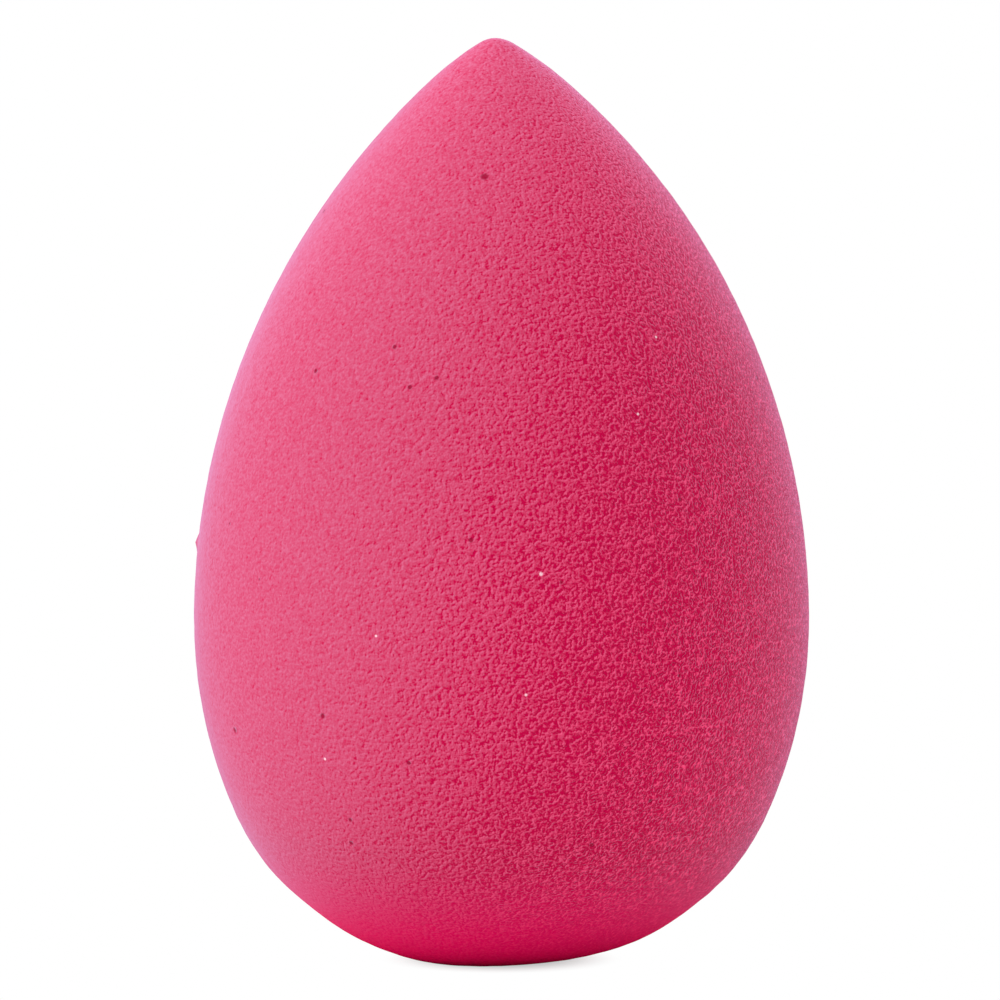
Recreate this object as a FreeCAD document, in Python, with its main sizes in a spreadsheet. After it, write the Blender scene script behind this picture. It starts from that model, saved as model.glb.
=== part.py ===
"""Makeup sponge: one teardrop of soft foam that stands on a small flat under its belly.

The half outline is a sketch of five arcs that run smoothly into each other: heel, lower belly,
flank, nose and tip. It is turned once round the upright axis, as the foam is when it is ground.
Sizes are millimetres and turns are degrees. The origin is the middle of the flat, and +Z is up.
"""

import FreeCAD, Part
import Sketcher
import math
import os

# Driving dimensions: cell alias, value, what it sets
DIMENSIONS = (
    ("total_height", 60.0, "from the flat to the tip"),
    ("belly_diameter", 40.0, "across the widest place"),
    ("belly_height", 22.2, "from the flat up to the widest place"),
    ("base_flat_diameter", 5.0, "across the flat that the sponge stands on"),
    ("heel_turn", 66.0, "how far the heel arc turns up from the flat"),
    ("nose_radius", 22.0, "of the arc that closes the flank in towards the tip"),
    ("nose_turn", 11.0, "how far the nose arc turns"),
    ("tip_radius", 2.0, "of the rounded tip"),
)

# Places on a sketch edge, as constraints count them
START, END, CENTRE = range(1, 4)

# The sketch's own origin, as constraints count edges
ORIGIN = -1

# Degrees that the outline is turned through
FULL_TURN = 360

# Steps in the search for the tip's turn, enough to find it to the last digit
HALVINGS = 60


def make_dimension_sheet(doc):
    """The spreadsheet with one row for each driving dimension: name, value, meaning."""
    sheet = doc.addObject("Spreadsheet::Sheet", "dimensions")
    for row, (alias, value, meaning) in enumerate(DIMENSIONS, start=1):
        sheet.set(f"A{row}", alias)
        sheet.set(f"B{row}", str(value))
        sheet.setAlias(f"B{row}", alias)
        sheet.set(f"C{row}", meaning)
    doc.recompute()
    return sheet


def lower_radii(half_width, half_flat, belly_height, heel_turn):
    """Radii of the heel and lower belly arcs, which leave the flat level and end upright.

    Across: half_width - half_flat = heel sin(turn) + belly (1 - sin(turn)).
    Up: belly_height = heel (1 - cos(turn)) + belly cos(turn).
    """
    across = half_width - half_flat
    sine, cosine = math.sin(heel_turn), math.cos(heel_turn)
    scale = sine + cosine - 1
    heel = (across * cosine - belly_height * (1 - sine)) / scale
    belly = (belly_height * sine - across * (1 - cosine)) / scale
    return heel, belly


def upper_arcs(half_width, rise, nose_radius, nose_turn, tip_radius):
    """Radius of the flank arc, and how far the tip arc turns, so that the arcs reach the axis.

    The flank starts upright at the belly. The tip's turn is found by halving: a larger one
    makes the flank's radius larger and the outline taller.
    """

    def flank_radius(tip_turn):
        nose_width = nose_radius * (math.sin(tip_turn + nose_turn) - math.sin(tip_turn))
        left_over = half_width - tip_radius * math.sin(tip_turn) - nose_width
        return left_over / (1 - math.sin(tip_turn + nose_turn))

    def height(tip_turn):
        tip_rise = tip_radius * (1 - math.cos(tip_turn))
        nose_rise = nose_radius * (math.cos(tip_turn) - math.cos(tip_turn + nose_turn))
        return tip_rise + nose_rise + flank_radius(tip_turn) * math.cos(tip_turn + nose_turn)

    low, high = 0.0, math.pi / 2 - nose_turn
    for _ in range(HALVINGS):
        middle = (low + high) / 2
        if height(middle) < rise:
            low = middle
        else:
            high = middle
    return flank_radius(low), low


def outline_edges(sheet):
    """The half outline's edges where the dimensions put them: flat, five arcs and the axis."""
    half_width = sheet.belly_diameter / 2
    half_flat = sheet.base_flat_diameter / 2
    heel_turn = math.radians(sheet.heel_turn)
    nose_turn = math.radians(sheet.nose_turn)
    heel, belly = lower_radii(half_width, half_flat, sheet.belly_height, heel_turn)
    rise = sheet.total_height - sheet.belly_height
    flank, tip_turn = upper_arcs(half_width, rise, sheet.nose_radius, nose_turn, sheet.tip_radius)

    level, up = 0.0, math.pi / 2
    heel_end = heel_turn - up
    nose_start = up - tip_turn - nose_turn
    tip_start = up - tip_turn
    tip_centre = FreeCAD.Vector(0, sheet.total_height - sheet.tip_radius)
    towards_tip = FreeCAD.Vector(math.cos(tip_start), math.sin(tip_start))
    nose_centre = tip_centre - towards_tip * (sheet.nose_radius - sheet.tip_radius)

    def arc(centre, radius, start, end):
        circle = Part.Circle(centre, FreeCAD.Vector(0, 0, 1), radius)
        return Part.ArcOfCircle(circle, start, end)

    foot = FreeCAD.Vector(0, 0)
    return [
        Part.LineSegment(foot, FreeCAD.Vector(half_flat, 0)),
        arc(FreeCAD.Vector(half_flat, heel), heel, -up, heel_end),
        arc(FreeCAD.Vector(half_width - belly, sheet.belly_height), belly, heel_end, level),
        arc(FreeCAD.Vector(half_width - flank, sheet.belly_height), flank, level, nose_start),
        arc(nose_centre, sheet.nose_radius, nose_start, tip_start),
        arc(tip_centre, sheet.tip_radius, tip_start, up),
        Part.LineSegment(FreeCAD.Vector(0, sheet.total_height), foot),
    ]


def draw_outline(body, sheet):
    """The half outline as a fully constrained sketch on the body's own XZ plane."""
    upright_plane = next(f for f in body.Origin.OriginFeatures if f.Role == "XZ_Plane")
    sketch = body.newObject("Sketcher::SketchObject", "half_outline")
    sketch.AttachmentSupport = (upright_plane, [""])
    sketch.MapMode = "FlatFace"
    flat, heel, belly, flank, nose, tip, axis = sketch.addGeometry(outline_edges(sheet), False)

    # The outline starts at the origin and comes back to it down the axis
    sketch.addConstraint(Sketcher.Constraint("Coincident", flat, START, ORIGIN, START))
    sketch.addConstraint(Sketcher.Constraint("Horizontal", flat))
    sketch.addConstraint(Sketcher.Constraint("Coincident", tip, END, axis, START))
    sketch.addConstraint(Sketcher.Constraint("Coincident", axis, END, ORIGIN, START))
    sketch.addConstraint(Sketcher.Constraint("Vertical", axis))

    # Each edge runs smoothly into the next, and the outline is upright at the belly, level at the tip
    chain = [flat, heel, belly, flank, nose, tip]
    for before, after in zip(chain, chain[1:]):
        sketch.addConstraint(Sketcher.Constraint("Tangent", before, END, after, START))
    sketch.addConstraint(Sketcher.Constraint("Horizontal", belly, CENTRE, belly, END))
    sketch.addConstraint(Sketcher.Constraint("Vertical", tip, CENTRE, tip, END))

    def drive(name, expression, kind, *place):
        """Adds a dimension at that place, and binds it to the sheet."""
        value = sketch.evalExpression(expression)
        number = sketch.addConstraint(Sketcher.Constraint(kind, *place, value))
        sketch.renameConstraint(number, name)
        sketch.setExpression(f"Constraints.{name}", expression)

    drive("half_flat", "dimensions.base_flat_diameter / 2 * 1 mm", "DistanceX", flat, START, flat, END)
    drive("half_width", "dimensions.belly_diameter / 2 * 1 mm", "DistanceX", ORIGIN, START, belly, END)
    drive("belly_height", "dimensions.belly_height * 1 mm", "DistanceY", ORIGIN, START, belly, END)
    drive("total_height", "dimensions.total_height * 1 mm", "DistanceY", ORIGIN, START, tip, END)
    drive("tip_radius", "dimensions.tip_radius * 1 mm", "Radius", tip)
    drive("nose_radius", "dimensions.nose_radius * 1 mm", "Radius", nose)
    drive("heel_turn", "dimensions.heel_turn * 1 deg", "Angle", heel)
    drive("nose_turn", "dimensions.nose_turn * 1 deg", "Angle", nose)
    return sketch


def make_foam_body(doc, sheet):
    """The sponge itself: the half outline turned once round the upright axis."""
    body = doc.addObject("PartDesign::Body", "foam_body")
    sketch = draw_outline(body, sheet)
    doc.recompute()
    teardrop = body.newObject("PartDesign::Revolution", "teardrop")
    teardrop.Profile = sketch
    teardrop.ReferenceAxis = (sketch, ["V_Axis"])
    teardrop.Angle = FULL_TURN
    sketch.Visibility = False
    doc.recompute()
    if not sketch.FullyConstrained:
        raise RuntimeError("the half outline isn't fully constrained")
    return body


def check(doc, pieces):
    """Stops if any object failed to build, or a piece isn't one valid closed solid."""
    failed = [item.Name for item in doc.Objects if {"Invalid", "Error"} & set(item.State)]
    if failed:
        raise RuntimeError(f"these failed to build: {failed}")
    for piece in pieces:
        shape = piece.Shape
        if shape.isNull() or not shape.isValid() or len(shape.Solids) != 1:
            raise RuntimeError(f"{piece.Label} isn't one valid solid")


def export(pieces):
    """Writes each piece to a file with its own name, and prints its size."""
    os.makedirs("parts", exist_ok=True)
    for piece in pieces:
        piece.Shape.exportStep(f"parts/{piece.Label}.step")
        box = piece.Shape.BoundBox
        size = f"{box.XLength:.2f} x {box.YLength:.2f} x {box.ZLength:.2f} mm"
        print(f"{piece.Label}: {size}, {piece.Shape.Volume / 1000:.2f} cm3")


def main():
    doc = FreeCAD.newDocument("makeup_sponge")
    sheet = make_dimension_sheet(doc)
    pieces = [make_foam_body(doc, sheet)]
    check(doc, pieces)
    export(pieces)


main()
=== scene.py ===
"""A teardrop makeup sponge of bright pink foam, standing tip up on a white studio floor.

The foam is one closed surface: the solid's outline turned round the upright axis, with the slight
lean, the settled foot, the drawn-in heel, the nub and the grain of the real piece. Lengths are
metres, mostly written as millimetres times MM.
"""

import math

import bpy
import numpy as np
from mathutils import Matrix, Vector


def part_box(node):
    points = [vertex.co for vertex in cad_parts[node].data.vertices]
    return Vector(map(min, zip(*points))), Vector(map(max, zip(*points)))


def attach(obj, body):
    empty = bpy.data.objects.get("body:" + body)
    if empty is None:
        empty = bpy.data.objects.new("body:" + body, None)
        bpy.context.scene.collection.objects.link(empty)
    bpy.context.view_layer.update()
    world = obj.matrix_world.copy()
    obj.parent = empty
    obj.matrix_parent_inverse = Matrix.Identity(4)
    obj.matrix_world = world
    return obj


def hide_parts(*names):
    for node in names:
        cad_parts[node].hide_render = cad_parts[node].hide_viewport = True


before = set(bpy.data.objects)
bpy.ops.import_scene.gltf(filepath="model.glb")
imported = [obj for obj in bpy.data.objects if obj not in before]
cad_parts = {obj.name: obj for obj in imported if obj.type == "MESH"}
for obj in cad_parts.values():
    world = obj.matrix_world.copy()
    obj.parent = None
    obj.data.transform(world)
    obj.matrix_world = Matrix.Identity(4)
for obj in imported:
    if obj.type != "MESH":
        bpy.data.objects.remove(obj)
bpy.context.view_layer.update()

MM = 0.001

# The solid's own size, from the frame
FOAM_LOW, FOAM_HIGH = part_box("foam_body")
HEIGHT = FOAM_HIGH.z - FOAM_LOW.z
BELLY_RADIUS = (FOAM_HIGH.x - FOAM_LOW.x) / 2

# The rest of the solid's outline
BELLY_HEIGHT = 22.2 * MM
FLAT_RADIUS = 2.5 * MM
HEEL_TURN = math.radians(66)
NOSE_RADIUS = 22 * MM
NOSE_TURN = math.radians(11)
TIP_RADIUS = 2 * MM
OUTLINE_STEPS = 800

# Squares along one side of the cube that the foam's surface is blown up from
SIDE_SQUARES = 128

# How the real piece differs from the turned shape
LEAN = -0.39 * MM
LEAN_START = 40 * MM
FOOT_TILT = 0.043
FOOT_REACH = 6.5 * MM
SETTLE_DEPTH = 0.11 * MM
SETTLE_REACH = 5 * MM
SETTLE_MIDDLE = (-3.5 * MM, -1 * MM, 0)
HEEL_DRAW = 0.11 * MM
HEEL_HEIGHT = 3.6 * MM
HEEL_REACH = 1.6 * MM
NUB_HEIGHT = 0.2 * MM
NUB_RADIUS = 0.6 * MM
GRAIN_DEPTH = 0.006 * MM
GRAIN_LENGTHS = (0.9 * MM, 1.8 * MM)
GRAIN_WAVES = 90
GRAIN_SEED = 4

# Camera, as the photograph was taken
CAMERA_DISTANCE = 520 * MM
CAMERA_RISE = math.radians(4)
CAMERA_LENS = 287.9
CAMERA_AIM = Vector((-0.1, 0, 30)) * MM
SENSOR = 36
PHOTO_SIDE = 1000
SIGHT_STEPS = 20000

# Place of the nub, as a column and row of the photograph
NUB = (198, 542)


def half_outline():
    """Radius, height and turn along the half outline, from the middle of the foot to the tip.

    The turn is the slant of the outline: level at the foot, upright at the belly, level again at
    the tip. Each stretch is an arc, so that d(radius) = arc cos(turn) d(turn) and
    d(height) = arc sin(turn) d(turn). The tip's turn is the one that gives the solid's height.
    """
    across = BELLY_RADIUS - FLAT_RADIUS
    sine, cosine = math.sin(HEEL_TURN), math.cos(HEEL_TURN)
    heel = (across * cosine - BELLY_HEIGHT * (1 - sine)) / (sine + cosine - 1)
    belly = (BELLY_HEIGHT * sine - across * (1 - cosine)) / (sine + cosine - 1)

    tips = np.linspace(0, math.pi / 2 - NOSE_TURN, OUTLINE_STEPS, endpoint=False)
    noses = tips + NOSE_TURN
    widths = TIP_RADIUS * np.sin(tips) + NOSE_RADIUS * (np.sin(noses) - np.sin(tips))
    flanks = (BELLY_RADIUS - widths) / (1 - np.sin(noses))
    rises = TIP_RADIUS * (1 - np.cos(tips)) + NOSE_RADIUS * (np.cos(tips) - np.cos(noses))
    tip_turn = np.interp(HEIGHT - BELLY_HEIGHT, rises + flanks * np.cos(noses), tips)
    flank = np.interp(tip_turn, tips, flanks)

    arcs = (heel, belly, flank, NOSE_RADIUS, TIP_RADIUS)
    joins = (0, HEEL_TURN, math.pi / 2, math.pi - tip_turn - NOSE_TURN, math.pi - tip_turn, math.pi)
    radius = [np.linspace(0, FLAT_RADIUS, OUTLINE_STEPS)]
    height = [np.zeros(OUTLINE_STEPS)]
    turn = [np.zeros(OUTLINE_STEPS)]
    for arc, start, end in zip(arcs, joins, joins[1:]):
        turns = np.linspace(start, end, OUTLINE_STEPS)
        radius.append(radius[-1][-1] + arc * (np.sin(turns) - math.sin(start)))
        height.append(height[-1][-1] + arc * (math.cos(start) - np.cos(turns)))
        turn.append(turns)
    return np.concatenate(radius), np.concatenate(height), np.concatenate(turn)


def ball_lattice(count):
    """Directions to the points of a cube with count by count squares a side, and the squares' corners.

    The lines of a side stand at equal angles as seen from the middle, tan(angle) along the side.
    Points that sides share are counted once, so that the ball is closed.
    """
    steps = np.arange(-count, count + 1, 2)
    across, along = np.meshgrid(steps, steps, indexing="ij")
    front = np.stack([np.full_like(across, count), across, along], axis=-1)
    sides = np.array([np.roll(front, axis, axis=2) * way for axis in range(3) for way in (1, -1)])
    points, number = np.unique(sides.reshape(-1, 3), axis=0, return_inverse=True)
    number = number.reshape(sides.shape[:3])
    corners = [number[:, :-1, :-1], number[:, 1:, :-1], number[:, 1:, 1:], number[:, :-1, 1:]]
    squares = np.stack(corners, axis=-1)
    squares[1::2] = squares[1::2, :, :, ::-1].copy()
    directions = np.tan(points / count * math.pi / 4)
    directions /= np.linalg.norm(directions, axis=1, keepdims=True)
    return directions, squares.reshape(-1, 4)


def grain(points):
    """Small waves through space, of seeded directions and lengths, summed at the points."""
    draw = np.random.default_rng(GRAIN_SEED)
    ways = draw.normal(size=(3, GRAIN_WAVES))
    ways /= np.linalg.norm(ways, axis=0)
    lengths = draw.uniform(*GRAIN_LENGTHS, size=GRAIN_WAVES)
    starts = draw.uniform(0, 2 * math.pi, size=GRAIN_WAVES)
    waves = np.sin(points @ (ways * 2 * math.pi / lengths) + starts)
    return waves.sum(axis=1) * math.sqrt(2 / GRAIN_WAVES)


def foam_surface(directions):
    """Points of the foam for directions from the middle of a ball, and the way out at each.

    A direction's share of the ball's area below it becomes the same share of the foam's area, so
    the squares keep their size: share = (1 + upward) / 2. Round the axis the direction is kept.
    """
    radius, height, turn = half_outline()
    lengths = np.hypot(np.diff(radius), np.diff(height))
    areas = np.append(0, np.cumsum(lengths * (radius[1:] + radius[:-1])))
    share = (1 + directions[:, 2]) / 2 * areas[-1]
    radius, height, turn = (np.interp(share, areas, each) for each in (radius, height, turn))

    level = np.hypot(directions[:, 0], directions[:, 1])
    sideways = directions[:, :2] / np.maximum(level, 1e-9)[:, None]
    points = np.column_stack([sideways * radius[:, None], height])
    outward = np.column_stack([sideways * np.sin(turn)[:, None], -np.cos(turn)])
    return points, outward


def shape_foam(points, outward):
    """The turned shape made into the real piece: grain, nub, drawn-in heel, settled foot and lean.

    The nub is height (1 - (away / radius)^2)^2. The heel, the foot's tilt and its settling fade
    as exp(-(away / reach)^2). The lean grows with the cube of the height above its start.
    """
    points = points + outward * (GRAIN_DEPTH * grain(points))[:, None]

    nub = np.array(turned_point(*NUB))
    away = np.linalg.norm(points - nub, axis=1)
    points += outward * (NUB_HEIGHT * np.clip(1 - (away / NUB_RADIUS) ** 2, 0, 1) ** 2)[:, None]

    drawn = np.exp(-((points[:, 2] - HEEL_HEIGHT) / HEEL_REACH) ** 2)
    points -= outward * (HEEL_DRAW * drawn)[:, None]

    tilt = FOOT_TILT * points[:, 0] * np.exp(-(points ** 2).sum(axis=1) / FOOT_REACH ** 2)
    away = np.linalg.norm(points - np.array(SETTLE_MIDDLE), axis=1)
    settled = SETTLE_DEPTH * np.exp(-(away / SETTLE_REACH) ** 2)
    points[:, 2] = np.maximum(points[:, 2] + tilt - settled, 0)

    up = np.clip((points[:, 2] - LEAN_START) / (HEIGHT - LEAN_START), 0, 1)
    points[:, 0] += LEAN * up ** 3
    return points


def camera_place():
    """Where the camera stands, and its axes: to the right, upward and back from the foam."""
    back = Vector((0, -math.cos(CAMERA_RISE), math.sin(CAMERA_RISE)))
    right = Vector((1, 0, 0))
    return CAMERA_AIM + back * CAMERA_DISTANCE, right, back.cross(right), back


def turned_point(column, row):
    """The point of the turned shape under that place of the photograph, or the nearest to it.

    Along the line of sight, the place is where the distance from the axis first falls to the
    outline's radius at that height.
    """
    place, right, upward, back = camera_place()
    scale = SENSOR / CAMERA_LENS / PHOTO_SIDE
    sight = right * (column - PHOTO_SIDE / 2) * scale - upward * (row - PHOTO_SIDE / 2) * scale - back
    radius, height, turn = half_outline()
    nearest, farthest = CAMERA_DISTANCE - 2 * BELLY_RADIUS, CAMERA_DISTANCE + BELLY_RADIUS
    reach = np.linspace(nearest, farthest, SIGHT_STEPS)
    line = np.array(place) + reach[:, None] * np.array(sight)
    outside = np.hypot(line[:, 0], line[:, 1]) - np.interp(line[:, 2], height, radius)
    inside = outside < 0
    hit = np.argmax(inside) if inside.any() else np.argmin(outside)
    return Vector(line[hit])


def make_piece(name, points, squares):
    """A smooth mesh object of those points and four-cornered faces."""
    mesh = bpy.data.meshes.new(name)
    mesh.vertices.add(len(points))
    mesh.vertices.foreach_set("co", points.ravel())
    mesh.loops.add(squares.size)
    mesh.loops.foreach_set("vertex_index", squares.ravel())
    mesh.polygons.add(len(squares))
    mesh.polygons.foreach_set("loop_start", np.arange(0, squares.size, 4))
    mesh.update(calc_edges=True)
    mesh.shade_smooth()
    piece = bpy.data.objects.new(name, mesh)
    bpy.context.scene.collection.objects.link(piece)
    return piece


class Field:
    """A node's output, which varies over a surface, in a form that arithmetic can be written with."""

    def __init__(self, tree, socket=None):
        self.tree = tree
        self.socket = socket

    def node(self, kind, settings, sockets, output=0):
        """Adds a node with those settings, fills its sockets and returns one of its outputs."""
        node = self.tree.nodes.new(kind)
        for name, value in settings.items():
            setattr(node, name, value)
        for name, value in sockets.items():
            if isinstance(value, Field):
                self.tree.links.new(value.socket, node.inputs[name])
            else:
                node.inputs[name].default_value = value
        return Field(self.tree, node.outputs[output] if node.outputs else None)

    def maths(self, operation, first, second):
        return self.node("ShaderNodeMath", {"operation": operation}, {0: first, 1: second})

    def __add__(self, other):
        return self.maths("ADD", self, other)

    def __radd__(self, other):
        return self.maths("ADD", other, self)

    def __sub__(self, other):
        return self.maths("SUBTRACT", self, other)

    def __rsub__(self, other):
        return self.maths("SUBTRACT", other, self)

    def __mul__(self, other):
        return self.maths("MULTIPLY", self, other)

    def __rmul__(self, other):
        return self.maths("MULTIPLY", other, self)

    def __truediv__(self, other):
        return self.maths("DIVIDE", self, other)

    def __rtruediv__(self, other):
        return self.maths("DIVIDE", other, self)

    def eased(self, low, high, start=0.0, end=1.0):
        """This value from low to high, eased to run from start to end."""
        sockets = {"Value": self, "From Min": low, "From Max": high, "To Min": start, "To Max": end}
        return self.node("ShaderNodeMapRange", {"interpolation_type": "SMOOTHSTEP"}, sockets)

    def mixed(self, first, second):
        """The first colour where this is 0, the second where it is 1."""
        sockets = {0: self, 6: first, 7: second}
        return self.node("ShaderNodeMix", {"data_type": "RGBA"}, sockets, output=2)


def new_material(name):
    """An empty material, and a field to start its nodes from."""
    material = bpy.data.materials.new(name)
    material.use_nodes = True
    material.node_tree.nodes.clear()
    return material, Field(material.node_tree)


# Colours of the foam, with light and shade painted in: walls paler on the lit left, walls on the shade
# side, pores, foot and pits in the deeper red of painted shade, and pale flecks, the strewn ones painted
# glints
LIT_SIDE_WALL = (0.64, 0.163, 0.289, 1)
SHADE_SIDE_WALL = (1, 0.08, 0.22, 1)
SHADED_PORE_RED = (0.58, 0, 0.06, 1)
FOOT_SHADE_RED = (0.987, 0, 0.15, 1)
PIT_SHADE_RED = (0.34, 0, 0.03, 1)
FLECK_AND_GLINT_PINK = (1, 0.62, 0.7, 1)

# From here to the marks, lengths are millimetres of the foam
# The way from the lit left to the shade side, and where along it the painted change starts and ends:
# paler walls and weaker pores where lit, deeper red and stronger pores in the shade
SHADE_SIDE_WAY = (1, 0, -0.2)
SHADE_SIDE_SPAN = (-19, 11)

# Pores, painted in the deeper red of shade, and how much of their contrast is left on the lit left
PORE_SIZE = 0.26
LIT_SIDE_SPREAD = 5.0
SHADE_SIDE_SPREAD = 12.0
PORE_SPAN = (-0.8, 2.4)
LIT_SIDE_CONTRAST = 0.22
PORE_SHADE = 0.9
PORE_DEPTH = 0.06
SHADE_LEAST = 0.46

# Painted lit and shaded side of each pore's wall, as from a light at the upper left
LIT_SHIFT = (-0.065, 0, 0.05)
LIT_SHADE = 5.0

# Fuzz finer than the pores
FUZZ_SIZE = 0.16
FUZZ_EDGE = 1.8
FUZZ_SHADE = 0.8
FUZZ_DEPTH = 0.055

# Foot: heights between which it fades, its share of red, which is painted shade and light bounced
# from the floor, and how much relief it loses
FOOT_FADE = (0.5, 9.0)
FOOT_SHARE = 0.85
FOOT_SMOOTHING = 0.6

# Velvet of the ground face
FOAM_ROUGHNESS = 0.95
SHEEN = 0.679
SHEEN_ROUGHNESS = 0.4
SHEEN_TINT = (0.5, 0.5, 0.8, 1)

# Marks strewn over the foam, pits in painted shade and pale flecks as painted glints: spacing, share
# of places that have one, largest radius
PITS = (1.9, 0.30, 0.18)
STREWN_GLINTS = (4.5, 0.35, 0.13)
STREWN_CORE = 0.5
PIT_DEPTH = 0.06
PIT_SHARE = 0.9

# Marks that the photograph shows, as its column and row and their radius
SEEN_PITS = (
    (485, 177, 0.34),
    (235, 730, 0.24),
    (323, 716, 0.22),
    (757, 378, 0.24),
    (316, 371, 0.18),
    (395, 347, 0.18),
    (437, 378, 0.18),
)
SEEN_FLECKS = (
    (541, 574, 0.16),
    (638, 414, 0.12),
    (325, 759, 0.12),
    (656, 337, 0.12),
    (526, 695, 0.12),
    (376, 636, 0.11),
)
SEEN_CORE = 0.4


def strewn(place, spacing, share, largest):
    """1 inside round marks at random places, one to a cell in that share of the cells."""
    cells = {"Vector": place, "Scale": 1 / spacing, "Randomness": 1.0}
    away = place.node("ShaderNodeTexVoronoi", {"feature": "F1"}, cells, output="Distance")
    draw = place.node("ShaderNodeTexVoronoi", {"feature": "F1"}, cells, output="Color")
    draw = place.node("ShaderNodeSeparateColor", {}, {0: draw})
    size = draw.eased(1 - share, 1.0, 0.0, largest / spacing)
    return away.eased(size * STREWN_CORE, size + 0.001, 1.0, 0.0)


def set_marks(place, marks):
    """1 inside round marks at those places of the photograph."""
    inside = 0.0
    for column, row, radius in marks:
        ends = {0: place, 1: turned_point(column, row) / MM}
        away = place.node("ShaderNodeVectorMath", {"operation": "DISTANCE"}, ends, output="Value")
        inside = place.maths("MAXIMUM", inside, away.eased(radius * SEEN_CORE, radius, 1.0, 0.0))
    return inside


def foam_material():
    """Fine-celled foam with a velvet sheen, and light and shade painted into its colour: pale walls
    round pores painted deeper red as shade, a paler, smoother-looking left painted as lit, and a foot
    painted deep red.

    A pore is where the square of a noise's swing is large. A wall's painted lit side is the noise less
    the same noise a little nearer the light. The foot has no sheen.
    """
    material, start = new_material("foam_pink")
    place = start.node("ShaderNodeTexCoord", {}, {}, output="Object")
    place = start.node("ShaderNodeVectorMath", {"operation": "SCALE"}, {0: place, "Scale": 1 / MM})
    level = start.node("ShaderNodeSeparateXYZ", {}, {0: place}, output="Z")
    foot = level.eased(*FOOT_FADE, 1.0, 0.0)

    # 0 on the lit left, 1 on the shade side: it paints the lit side paler and calmer
    ways = {0: place, 1: SHADE_SIDE_WAY}
    along = start.node("ShaderNodeVectorMath", {"operation": "DOT_PRODUCT"}, ways, output="Value")
    shade_side = along.eased(*SHADE_SIDE_SPAN)

    def swell(middle, size):
        """A noise of that size, swinging either side of 0."""
        noise = {"Vector": middle, "Scale": 1 / size, "Detail": 1.0}
        return start.node("ShaderNodeTexNoise", {}, noise, output="Fac") - 0.5

    fuzz = swell(place, FUZZ_SIZE)
    cell = swell(place, PORE_SIZE)
    towards_light = start.node("ShaderNodeVectorMath", {"operation": "ADD"}, {0: place, 1: LIT_SHIFT})
    # Painted lit side of each wall: brighter where the noise falls towards the light
    painted_lit_side = cell - swell(towards_light, PORE_SIZE)
    # Pores spread wider on the shade side: painted stronger contrast there
    swing = cell * (shade_side * (SHADE_SIDE_SPREAD - LIT_SIDE_SPREAD) + LIT_SIDE_SPREAD)
    pore = (swing * swing + fuzz * FUZZ_EDGE).eased(*PORE_SPAN)
    # Strength of the pores in colour and relief, least on the lit left; in the colour it is painted
    # shade
    depth = shade_side * (1 - LIT_SIDE_CONTRAST) + LIT_SIDE_CONTRAST
    # Share of pore red: painted shade in the pores and on each wall's side away from the light, and
    # grain at random
    shade = (pore * PORE_SHADE - painted_lit_side * LIT_SHADE) * depth - fuzz * FUZZ_SHADE + SHADE_LEAST
    pit = start.maths("MAXIMUM", strewn(place, *PITS), set_marks(place, SEEN_PITS))
    fleck_and_glint = start.maths("MAXIMUM", strewn(place, *STREWN_GLINTS), set_marks(place, SEEN_FLECKS))

    rough = (fuzz * FUZZ_DEPTH - pore * PORE_DEPTH) * depth * (1 - foot * FOOT_SMOOTHING)
    relief = rough - pit * PIT_DEPTH
    normal = start.node("ShaderNodeBump", {}, {"Height": relief, "Strength": 1.0, "Distance": MM})
    # Wall colour painted paler on the lit left, deeper on the shade side
    wall = shade_side.mixed(LIT_SIDE_WALL, SHADE_SIDE_WALL)
    # Pores and each wall's dark side painted in the deeper red of shade
    colour = shade.mixed(wall, SHADED_PORE_RED)
    # Foot painted deep red as shade and light bounced from the floor
    colour = (foot * FOOT_SHARE).mixed(colour, FOOT_SHADE_RED)
    # Pits painted dark as shade in them
    colour = (pit * PIT_SHARE).mixed(colour, PIT_SHADE_RED)
    # Pale flecks; the strewn ones are painted glints
    colour = fleck_and_glint.mixed(colour, FLECK_AND_GLINT_PINK)

    def cover(sheen):
        """The foam's face with that much sheen."""
        sockets = {
            "Base Color": colour,
            "Roughness": FOAM_ROUGHNESS,
            "Specular IOR Level": 0.0,
            "Sheen Weight": sheen,
            "Sheen Roughness": SHEEN_ROUGHNESS,
            "Sheen Tint": SHEEN_TINT,
            "Normal": normal,
        }
        return start.node("ShaderNodeBsdfPrincipled", {}, sockets)

    foam = start.node("ShaderNodeMixShader", {}, {0: foot, 1: cover(SHEEN), 2: cover(0.0)})
    start.node("ShaderNodeOutputMaterial", {}, {"Surface": foam})
    return material


def looked_at(start):
    """1 for the camera and for what mirrors or lets through, 0 for light that spreads."""
    camera = start.node("ShaderNodeLightPath", {}, {}, output="Is Camera Ray")
    mirror = start.node("ShaderNodeLightPath", {}, {}, output="Is Glossy Ray")
    through = start.node("ShaderNodeLightPath", {}, {}, output="Is Transmission Ray")
    return camera.maths("MAXIMUM", camera, mirror.maths("MAXIMUM", mirror, through))


# Floor: white to look at, with the shadow kept round the foot, and pale grey for the light it spreads
WHITE = (1, 1, 1, 1)
FLOOR_PALE = (0.813, 0.813, 0.813, 1)
FLOOR_SIDE = 4.0
SHADOW_START = 3 * MM
SHADOW_END = 8 * MM
SHADOW_SHARE = 0.5


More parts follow.
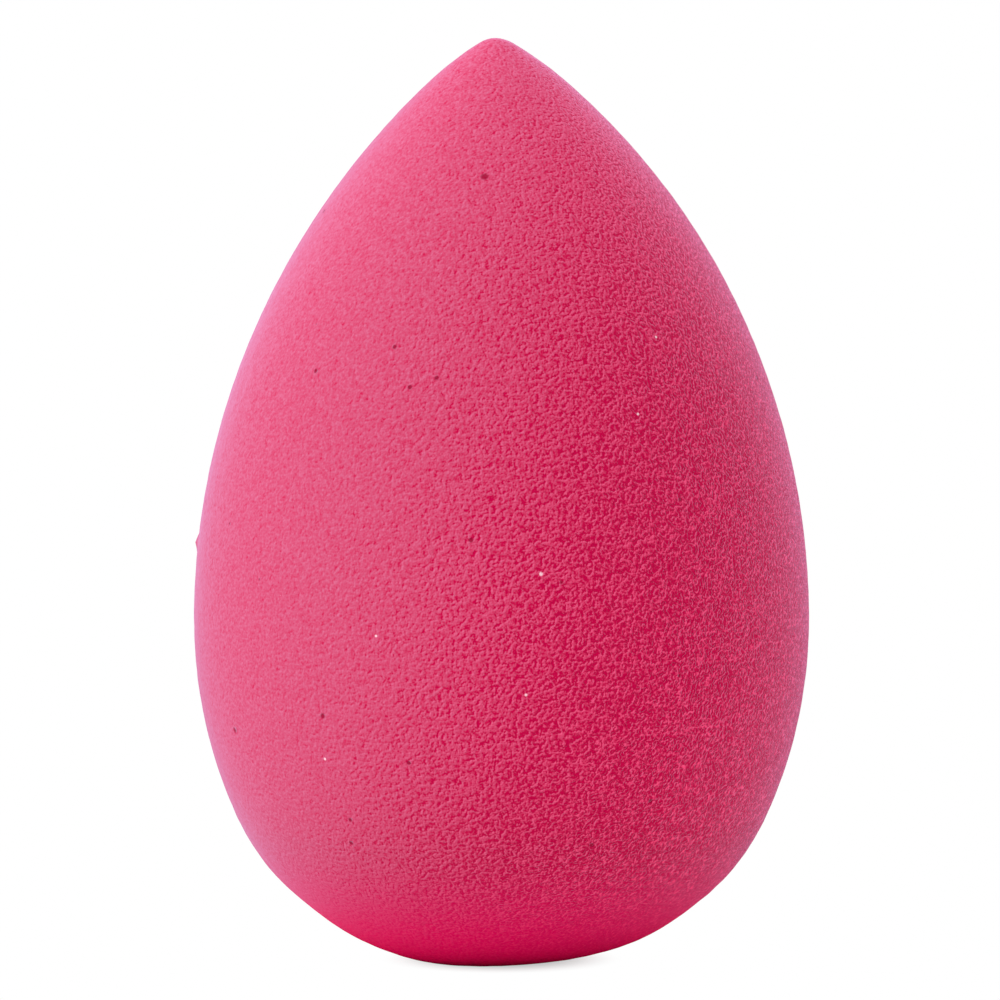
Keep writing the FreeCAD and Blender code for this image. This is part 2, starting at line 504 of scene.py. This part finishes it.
def floor_material():
    """White for what looks at it straight or in a reflection, apart from the shadow round the foot."""
    material, start = new_material("studio_floor")
    spread = start.node("ShaderNodeBsdfDiffuse", {}, {"Color": FLOOR_PALE})
    shaded = start.node("ShaderNodeBsdfDiffuse", {}, {"Color": WHITE})
    glow = start.node("ShaderNodeEmission", {}, {"Color": WHITE, "Strength": 1.0})
    place = start.node("ShaderNodeTexCoord", {}, {}, output="Object")
    away = start.node("ShaderNodeVectorMath", {"operation": "LENGTH"}, {0: place}, output="Value")
    shadow = away.eased(SHADOW_START, SHADOW_END, SHADOW_SHARE, 0.0)
    white = start.node("ShaderNodeMixShader", {}, {0: shadow, 1: glow, 2: shaded})
    floor = start.node("ShaderNodeMixShader", {}, {0: looked_at(start), 1: spread, 2: white})
    start.node("ShaderNodeOutputMaterial", {}, {"Surface": floor})
    return material


def make_floor():
    """A plain floor under the foot."""
    half = FLOOR_SIDE / 2
    points = np.array([(-half, -half, 0), (half, -half, 0), (half, half, 0), (-half, half, 0)])
    floor = make_piece("studio_floor", points, np.array([[0, 1, 2, 3]]))
    floor.data.materials.append(floor_material())


# Soft white light from all round
ROOM_LIGHT = (0.747, 0.747, 0.747, 1)

# Lamps: name, direction from the belly as turn to the right and rise in degrees, power in watts
LAMP_DISTANCE = 500 * MM
LAMP_SIDE = 300 * MM
LAMPS = (
    ("key_softbox", -60, 40, 0.839),
    ("left_softbox", -90, 15, 0.519),
    ("back_softbox", 180, 65, 1.28),
    ("rim_softbox", 150, 15, 0.931),
)


def make_lamps():
    """Softboxes aimed at the middle of the foam. A turn of 0 stands by the camera, 90 to its right."""
    middle = Vector((0, 0, HEIGHT / 2))
    for name, turn, rise, power in LAMPS:
        turn, rise = math.radians(turn), math.radians(rise)
        way = Vector((math.sin(turn) * math.cos(rise), -math.cos(turn) * math.cos(rise), math.sin(rise)))
        light = bpy.data.lights.new(name, "AREA")
        light.size = LAMP_SIDE
        light.energy = power
        lamp = bpy.data.objects.new(name, light)
        lamp.location = middle + way * LAMP_DISTANCE
        lamp.rotation_euler = way.to_track_quat("Z", "Y").to_euler()
        bpy.context.scene.collection.objects.link(lamp)


def make_world():
    """An even soft light from all round, white to the camera."""
    world = bpy.data.worlds.new("studio")
    world.use_nodes = True
    world.node_tree.nodes.clear()
    start = Field(world.node_tree)
    colour = looked_at(start).mixed(ROOM_LIGHT, WHITE)
    sky = start.node("ShaderNodeBackground", {}, {"Color": colour, "Strength": 1.0})
    start.node("ShaderNodeOutputWorld", {}, {"Surface": sky})
    bpy.context.scene.world = world


def make_camera():
    """The photograph's own view."""
    place, right, upward, back = camera_place()
    camera = bpy.data.cameras.new("photo_camera")
    camera.lens = CAMERA_LENS
    camera.sensor_width = SENSOR
    camera.clip_start = 0.01
    camera.clip_end = 10
    holder = bpy.data.objects.new("photo_camera", camera)
    holder.location = place
    holder.rotation_euler = back.to_track_quat("Z", "Y").to_euler()
    bpy.context.scene.collection.objects.link(holder)
    bpy.context.scene.camera = holder


def make_foam():
    """The sponge's one piece, in place of the solid."""
    directions, squares = ball_lattice(SIDE_SQUARES)
    points, outward = foam_surface(directions)
    foam = make_piece("foam_body_soft", shape_foam(points, outward), squares)
    foam.data.materials.append(foam_material())
    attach(foam, "root")
    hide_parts("foam_body")


make_foam()
make_floor()
make_lamps()
make_world()
make_camera()
bpy.context.scene.view_settings.view_transform = "Standard"
